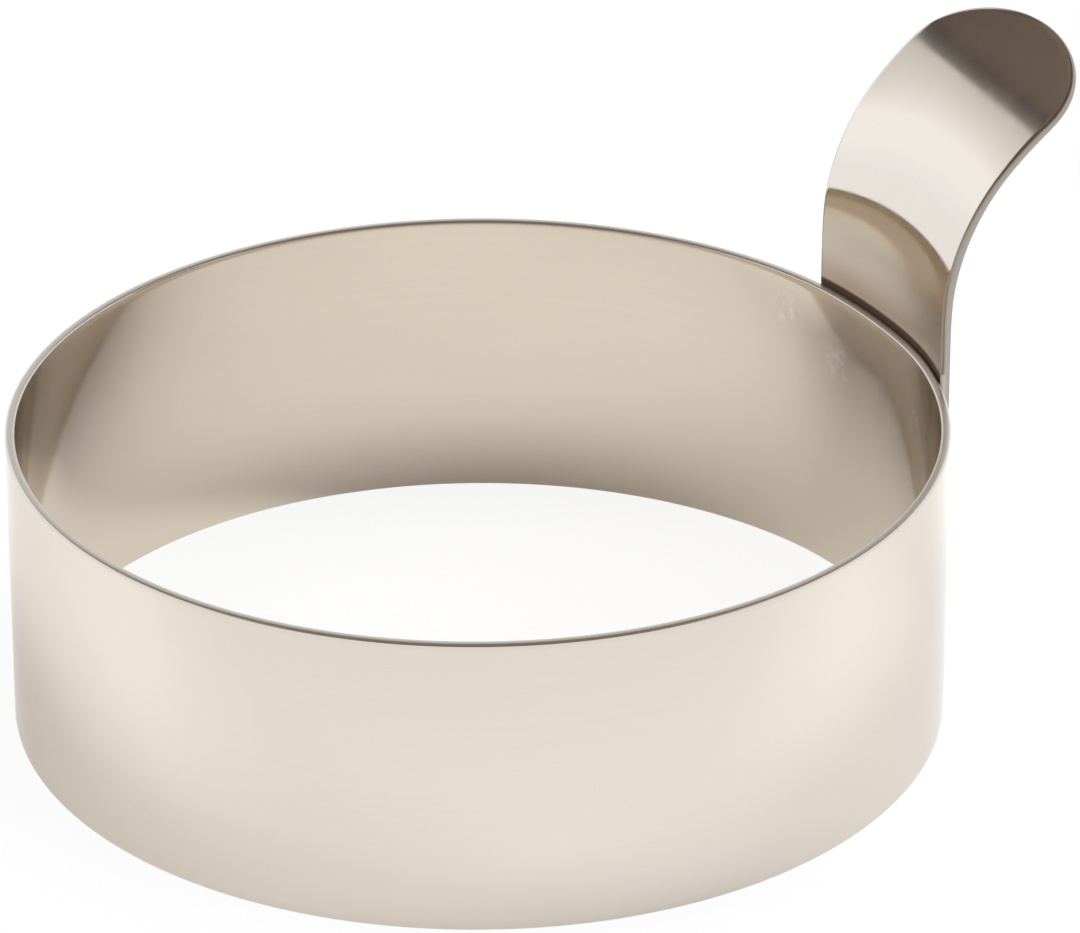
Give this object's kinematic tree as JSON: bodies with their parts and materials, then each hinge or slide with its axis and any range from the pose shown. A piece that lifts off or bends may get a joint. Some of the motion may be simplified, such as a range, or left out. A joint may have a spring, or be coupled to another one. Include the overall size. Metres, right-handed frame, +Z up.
{
  "type": "egg ring",
  "caption": "Round steel egg ring: a straight-walled rolled band that holds a frying egg, with an outward-curled thumb tab spot-welded to its outside as a handle.",
  "frame": {"origin": "on the resting plane, under the middle of the part's bounding box", "axes": "+X from the ring's axis towards the tab, +Y across the tab, +Z up along the ring's axis"},
  "size_m": [0.0906, 0.0762, 0.05],
  "materials": {
    "band_steel": "bright satin stainless steel",
    "tab_steel": "polished stainless steel",
    "weld_steel": "ground weld metal"
  },
  "bodies": {
    "root": {"ring_band": "band_steel", "seam_weld": "weld_steel", "handle_tab": "tab_steel", "spot_weld_left": "weld_steel", "spot_weld_right": "weld_steel"}
  },
  "joints": []
}
